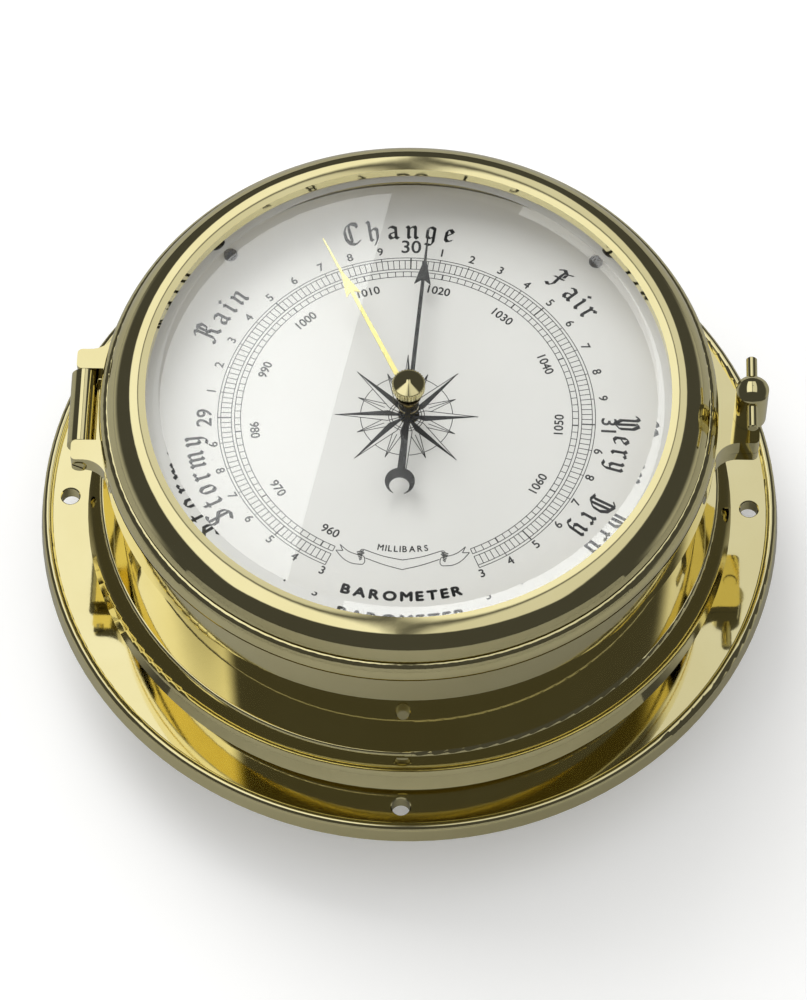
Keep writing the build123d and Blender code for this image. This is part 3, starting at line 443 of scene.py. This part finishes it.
# broad-pen letters: strokes as points, with the lower-case height as the unit
NIB = (math.cos(math.radians(40)) * 0.12, math.sin(math.radians(40)) * 0.12)
HAIR = 0.045
LETTERS = {
    "a": (0.86, [[(0.06, 0.82), (0.24, 0.97), (0.52, 0.84), (0.52, 0.16), (0.66, 0.05)],
                 [(0.52, 0.56), (0.14, 0.42), (0.14, 0.20), (0.28, 0.06), (0.52, 0.24)]]),
    "e": (0.72, [[(0.30, 0.97), (0.12, 0.80), (0.12, 0.20), (0.28, 0.05), (0.54, 0.20)],
                 [(0.30, 0.97), (0.52, 0.74), (0.16, 0.46)]]),
    "g": (0.86, [[(0.30, 0.97), (0.12, 0.80), (0.12, 0.26), (0.26, 0.10), (0.52, 0.26)],
                 [(0.30, 0.97), (0.54, 0.84), (0.52, -0.16), (0.36, -0.38), (0.06, -0.26)]]),
    "h": (0.88, [[(0.02, 1.50), (0.14, 1.38), (0.14, 0.16), (0.26, 0.05)],
                 [(0.18, 0.74), (0.42, 0.96), (0.58, 0.82), (0.56, 0.20), (0.34, -0.28)]]),
    "i": (0.46, [[(0.02, 0.95), (0.14, 0.83), (0.14, 0.17), (0.28, 0.05)],
                 [(0.07, 1.32), (0.19, 1.20)]]),
    "m": (1.26, [[(0.02, 0.95), (0.14, 0.83), (0.14, 0.17), (0.24, 0.07)],
                 [(0.18, 0.76), (0.42, 0.96), (0.54, 0.84), (0.54, 0.17), (0.64, 0.07)],
                 [(0.58, 0.76), (0.82, 0.96), (0.94, 0.84), (0.94, 0.17), (1.08, 0.05)]]),
    "n": (0.88, [[(0.02, 0.95), (0.14, 0.83), (0.14, 0.17), (0.24, 0.07)],
                 [(0.18, 0.76), (0.44, 0.96), (0.56, 0.84), (0.56, 0.17), (0.70, 0.05)]]),
    "o": (0.82, [[(0.32, 0.97), (0.12, 0.80), (0.12, 0.22), (0.30, 0.04), (0.54, 0.20),
                  (0.54, 0.78), (0.32, 0.97)]]),
    "r": (0.64, [[(0.02, 0.95), (0.14, 0.83), (0.14, 0.17), (0.28, 0.05)],
                 [(0.18, 0.76), (0.38, 0.97), (0.52, 0.84)]]),
    "t": (0.60, [[(0.16, 1.20), (0.16, 0.20), (0.28, 0.05), (0.46, 0.16)],
                 [(0.00, 0.90), (0.40, 0.90)]]),
    "y": (0.86, [[(0.02, 0.95), (0.14, 0.83), (0.14, 0.26), (0.28, 0.10), (0.52, 0.28)],
                 [(0.42, 0.97), (0.54, 0.84), (0.52, -0.06), (0.36, -0.32), (0.08, -0.24)]]),
    "C": (1.20, [[(0.95, 1.38), (0.62, 1.58), (0.30, 1.38), (0.14, 1.05), (0.14, 0.48),
                  (0.34, 0.12), (0.64, 0.00), (0.98, 0.24)],
                 [(0.52, 1.50), (0.46, 1.20), (0.46, 0.20)], [(0.62, 1.58), (0.92, 1.50), (0.98, 1.20)]]),
    "D": (1.22, [[(0.04, 1.30), (0.30, 1.55), (0.80, 1.30), (0.98, 0.90), (0.90, 0.36),
                  (0.52, 0.00), (0.10, 0.14)],
                 [(0.34, 1.50), (0.34, 0.16)], [(0.62, 1.36), (0.62, 0.14)]]),
    "F": (1.08, [[(0.02, 1.28), (0.28, 1.52), (0.60, 1.34), (0.98, 1.54)],
                 [(0.46, 1.40), (0.40, 1.10), (0.42, 0.30), (0.22, 0.02), (0.00, 0.14)],
                 [(0.10, 0.78), (0.74, 0.90)], [(0.62, 1.30), (0.62, 1.00)]]),
    "R": (1.18, [[(0.02, 1.30), (0.24, 1.52), (0.38, 1.36), (0.36, 0.24), (0.18, 0.00), (0.00, 0.12)],
                 [(0.38, 1.36), (0.66, 1.56), (0.92, 1.32), (0.86, 0.98), (0.46, 0.80)],
                 [(0.50, 0.82), (0.76, 0.60), (0.80, 0.22), (1.02, 0.06)], [(0.62, 1.46), (0.60, 0.90)]]),
    "S": (1.08, [[(0.92, 1.34), (0.58, 1.58), (0.24, 1.38), (0.26, 1.04), (0.82, 0.62),
                  (0.80, 0.26), (0.48, 0.00), (0.04, 0.18)],
                 [(0.54, 1.50), (0.54, 0.10)], [(0.58, 1.58), (0.90, 1.50)]]),
    "V": (1.20, [[(0.00, 1.30), (0.20, 1.54), (0.32, 1.36), (0.30, 0.42), (0.56, 0.04),
                  (0.90, 0.34), (0.92, 1.16), (0.72, 1.52), (0.50, 1.34)],
                 [(0.60, 1.34), (0.60, 0.16)]]),
}


def pen_word(ink, word, height, radius, middle_degrees, spacing):
    """Writes a word clockwise along a circle, with letter tops pointing outward."""
    total = sum(LETTERS[c][0] for c in word) * height + spacing * (len(word) - 1)
    travelled = -total / 2
    for c in word:
        advance, strokes = LETTERS[c]
        middle = travelled + advance * height / 2
        angle = math.radians(middle_degrees) - middle / radius
        turn = angle - math.pi / 2
        cosine, sine = math.cos(turn), math.sin(turn)
        base = (radius * math.cos(angle), radius * math.sin(angle))

        def put(x, z):
            x = (x - advance / 2) * height
            z = z * height
            return (base[0] + x * cosine - z * sine, base[1] + x * sine + z * cosine)

        for stroke in strokes:
            for (ax, az), (bx, bz) in zip(stroke, stroke[1:]):
                ink.polygon([put(ax - NIB[0], az - NIB[1]), put(ax + NIB[0], az + NIB[1]),
                             put(bx + NIB[0], bz + NIB[1]), put(bx - NIB[0], bz - NIB[1])])
                side = (HAIR * -(bz - az), HAIR * (bx - ax))
                length = math.hypot(bx - ax, bz - az)
                side = (side[0] / length, side[1] / length)
                ink.polygon([put(ax - side[0], az - side[1]), put(ax + side[0], az + side[1]),
                             put(bx + side[0], bz + side[1]), put(bx - side[0], bz - side[1])])
        travelled += advance * height + spacing


def print_words(ink):
    """Weather words on the rim, and the dial's title and unit."""
    letter = 4.6
    base = 58.4
    pen_word(ink, "Change", letter, base, 93.2, 1.2)
    pen_word(ink, "Rain", letter, base, 148.5, 1.0)
    pen_word(ink, "Stormy", letter, base - 1.6, 201.5, 0.95)
    pen_word(ink, "Fair", letter, base, 41.5, 1.0)
    pen_word(ink, "Very", letter, base - 1.2, -8.0, 0.9)
    pen_word(ink, "Dry", letter, base - 1.6, -31.6, 0.9)
    ink.along("BAROMETER", 3.15, 57.1, math.radians(-90), math.radians(33), 0.46, 1.2)
    ink.along("MILLIBARS", 1.95, 42.4, math.radians(-90), math.radians(18.6), 0.12, 0.9)


def smooth(points, steps=6):
    """A rounded line through a few points."""
    line = []
    padded = [points[0]] + points + [points[-1]]
    for p0, p1, p2, p3 in zip(padded, padded[1:], padded[2:], padded[3:]):
        for i in range(steps):
            t = i / steps
            line.append(tuple(
                0.5 * (2 * b + (c - a) * t + (2 * a - 5 * b + 4 * c - d) * t * t
                       + (3 * b - a - 3 * c + d) * t * t * t)
                for a, b, c, d in zip(p0, p1, p2, p3)
            ))
    line.append(points[-1])
    return line


def print_banner(ink):
    """An empty ribbon under the unit, with folded ends and swallow tails."""
    width = 0.24
    for side in (-1, 1):
        def at(*points):
            return [(side * x, z) for x, z in points]
        ink.path(smooth(at((0, -45.8), (5.2, -44.7), (10.1, -42.9))), width)
        ink.path(smooth(at((0, -48.8), (5.2, -47.3), (10.0, -45.4))), width)
        ink.path(smooth(at((10.0, -42.9), (11.0, -42.7), (11.4, -43.2), (10.4, -43.9),
                           (11.6, -44.3), (10.4, -45.0), (10.2, -46.6), (10.8, -47.4))), width)
        ink.path(smooth(at((10.8, -47.4), (13.6, -47.1), (16.0, -45.7), (18.1, -43.1))), width)
        ink.path(at((18.1, -43.1), (16.2, -43.2), (17.0, -41.3)), width)
        ink.path(smooth(at((17.0, -41.3), (14.8, -43.3), (12.4, -44.3), (11.4, -44.2))), width)
        for i in range(6):
            drop = 0.5 * i
            ink.path(at((10.5 + 0.1 * i, -43.1 - drop), (12.4 - 0.15 * i, -43.6 - drop)), 0.34)


def point_edges(angle, tip_radius, waist_radius, waist):
    """The tip and both waist corners of one rose point."""
    ahead = (math.cos(angle), math.sin(angle))
    aside = (-ahead[1], ahead[0])
    tip = (tip_radius * ahead[0], tip_radius * ahead[1])
    left = tuple(waist_radius * a + waist * s for a, s in zip(ahead, aside))
    right = tuple(waist_radius * a - waist * s for a, s in zip(ahead, aside))
    return tip, left, right


def print_rose(ink):
    """A compass rose: eight half-black points, eight small open ones and a thin ring."""
    ring = 0.244 * scale_radius
    long_tip = 0.38 * scale_radius
    short_tip = 0.28 * scale_radius
    for i in range(16):
        start = math.pi / 8 * i
        hide = (0.062, 0.018) if i % 2 == 0 else (0.018, 0.062)
        ink.arc(ring, start + hide[0], start + math.pi / 8 - hide[1], fine_line)
    for radius in (0.095, 0.080):
        ink.arc(radius * scale_radius, 0, 2 * math.pi, fine_line)
    for i in range(8):
        angle = math.pi / 4 * i
        tip, left, right = point_edges(angle, long_tip, 5.2, 1.65)
        ink.polygon([(0, 0), tip, right])
        ink.path([(0, 0), left, tip, (0, 0)], fine_line)
        tip, left, right = point_edges(angle + math.pi / 8, short_tip, 6.6, 1.25)
        ink.path([left, tip, right], fine_line)
        ink.path([((left[0] + right[0]) / 2, (left[1] + right[1]) / 2), tip], fine_line)


printing = Printing()
print_scales(printing)
print_words(printing)
print_banner(printing)
print_rose(printing)
dial_print = printing.make("dial_print", PRINT_Y, printing_ink)
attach(dial_print, "case")


# ---------------------------------------------------------------- studio
def sheet(name, corners, material):
    """A flat four-sided stage surface."""
    new_piece(name, corners, [(0, 1, 2, 3)], material)


def one_sided(material):
    """Makes a stage material vanish when seen from behind."""
    tree = material.node_tree
    shader = tree.nodes["Principled BSDF"]
    clear = tree.nodes.new("ShaderNodeBsdfTransparent")
    geometry = tree.nodes.new("ShaderNodeNewGeometry")
    mix_shaders(tree, geometry.outputs["Backfacing"], shader, clear)


def dim_in_mirrors(material, share):
    """Lets the room look darker in the brass than it does to the camera."""
    tree = material.node_tree
    shader = tree.nodes["Principled BSDF"]
    path = tree.nodes.new("ShaderNodeLightPath")
    colour = shader.inputs["Base Color"].links[0].from_socket
    dim = tree.nodes.new("ShaderNodeMix")
    dim.data_type = "RGBA"
    dim.blend_type = "MULTIPLY"
    dim.inputs[7].default_value = (share, share, share, 1)
    tree.links.new(colour, dim.inputs[6])
    tree.links.new(path.outputs["Is Glossy Ray"], dim.inputs[0])
    tree.links.new(dim.outputs[2], shader.inputs["Base Color"])
    tree.links.new(path.outputs["Is Camera Ray"], shader.inputs["Emission Strength"])
    shader.inputs["Emission Color"].default_value = (0.16, 0.16, 0.16, 1)


dim_in_mirrors(wall_paint, 0.35)
one_sided(wall_paint)
WALL_Y = cad_box[1][1] + 25 * MM
SIDE = 4
FLOOR_Z = -1.6
FLOOR_FRONT = -0.9
WALL_TOP = 3
sheet("wall", [(-SIDE, WALL_Y, FLOOR_Z), (SIDE, WALL_Y, FLOOR_Z),
               (SIDE, WALL_Y, WALL_TOP), (-SIDE, WALL_Y, WALL_TOP)], wall_paint)
sheet("floor", [(-SIDE, FLOOR_FRONT, FLOOR_Z), (SIDE, FLOOR_FRONT, FLOOR_Z),
                (SIDE, WALL_Y, FLOOR_Z), (-SIDE, WALL_Y, FLOOR_Z)], wall_paint)


def key_light(place, size, power):
    """A large square light aimed at the dial, unseen by the camera and by the brass."""
    light = bpy.data.lights.new("key", "AREA")
    light.shape = "RECTANGLE"
    light.size = size
    light.size_y = size
    light.energy = power
    lamp = bpy.data.objects.new("key", light)
    lamp.location = place
    lamp.rotation_euler = (-Vector(place)).to_track_quat("-Z", "Y").to_euler()
    lamp.visible_camera = False
    lamp.visible_glossy = False
    bpy.context.scene.collection.objects.link(lamp)


key_light((-0.55, -1.2, 0.95), 1.1, 13.0)


def band(tree, value, low, high, soft):
    """One inside a range and zero outside it, with soft edges."""
    edges = []
    for edge, start, end in ((low, 0.0, 1.0), (high, 1.0, 0.0)):
        node = tree.nodes.new("ShaderNodeMapRange")
        node.interpolation_type = "SMOOTHSTEP"
        node.inputs["From Min"].default_value = edge - soft
        node.inputs["From Max"].default_value = edge + soft
        node.inputs["To Min"].default_value = start
        node.inputs["To Max"].default_value = end
        tree.links.new(value, node.inputs["Value"])
        edges.append(node.outputs["Result"])
    return math_node(tree, "MULTIPLY", edges[0], edges[1])


# in degrees: azimuth from left to right of the viewer, elevation from low to high, softness, brightness
SOFT_LIGHTS = (
    (-29, -2, -6, 60, 2.0, 0.95),
    (1, 24, -6, 60, 2.0, 0.66),
    (80, 150, -10, 50, 8.0, 0.30),
    (-150, -80, -10, 50, 8.0, 0.30),
)
DARK_ROOM = 0.06
WHITE_ROOM = 0.95
MATT_DIMMING = 0.19


def studio_world():
    """Even pale light for matt surfaces; for mirrors, a dark room with tall soft lights in it."""
    world = bpy.data.worlds.new("studio")
    world.use_nodes = True
    tree = world.node_tree
    background = tree.nodes["Background"]
    coords = tree.nodes.new("ShaderNodeTexCoord")
    parts = tree.nodes.new("ShaderNodeSeparateXYZ")
    tree.links.new(coords.outputs["Generated"], parts.inputs[0])
    toward = math_node(tree, "MULTIPLY", parts.outputs["Y"], -1.0)
    azimuth = math_node(tree, "ARCTAN2", parts.outputs["X"], toward)
    elevation = math_node(tree, "ARCSINE", parts.outputs["Z"])
    glow = DARK_ROOM
    for left, right, low, high, soft, strength in SOFT_LIGHTS:
        across = band(tree, azimuth, math.radians(left), math.radians(right), math.radians(soft))
        upward = band(tree, elevation, math.radians(low), math.radians(high), math.radians(soft))
        spot = math_node(tree, "MULTIPLY", across, upward)
        glow = math_node(tree, "ADD", math_node(tree, "MULTIPLY", spot, strength), glow)
    path = tree.nodes.new("ShaderNodeLightPath")
    plain = math_node(tree, "MULTIPLY", path.outputs["Is Diffuse Ray"], -MATT_DIMMING)
    plain = math_node(tree, "ADD", plain, WHITE_ROOM)
    mirror = path.outputs["Is Glossy Ray"]
    unlit = math_node(tree, "SUBTRACT", 1.0, mirror)
    total = math_node(tree, "ADD", math_node(tree, "MULTIPLY", glow, mirror),
                      math_node(tree, "MULTIPLY", plain, unlit))
    tree.links.new(total, background.inputs["Strength"])
    background.inputs["Color"].default_value = (1, 1, 1, 1)
    return world


bpy.context.scene.world = studio_world()

# ---------------------------------------------------------------- camera
# below the dial and looking up at it, with a slight turn and lean
tilt = math.radians(30.466)
yaw = math.radians(0.949)
roll = math.radians(1.094)
camera_place = Vector((0.0195, -1.1071, -0.6478))
right = Vector((1, 0, 0))
down = Vector((0, math.sin(tilt), -math.cos(tilt)))
ahead = Vector((0, math.cos(tilt), math.sin(tilt)))
yawed_right = math.cos(yaw) * right + math.sin(yaw) * ahead
yawed_ahead = math.cos(yaw) * ahead - math.sin(yaw) * right
rolled_right = math.cos(roll) * yawed_right - math.sin(roll) * down
rolled_down = math.sin(roll) * yawed_right + math.cos(roll) * down
camera_data = bpy.data.cameras.new("camera")
camera_data.sensor_fit = "VERTICAL"
camera_data.sensor_height = 36.0
camera_data.lens = 161.6256
camera = bpy.data.objects.new("camera", camera_data)
axes = Matrix((rolled_right, -rolled_down, -yawed_ahead)).transposed()
camera.matrix_world = Matrix.Translation(camera_place) @ axes.to_4x4()
bpy.context.scene.collection.objects.link(camera)
bpy.context.scene.camera = camera
bpy.context.scene.view_settings.view_transform = "Standard"
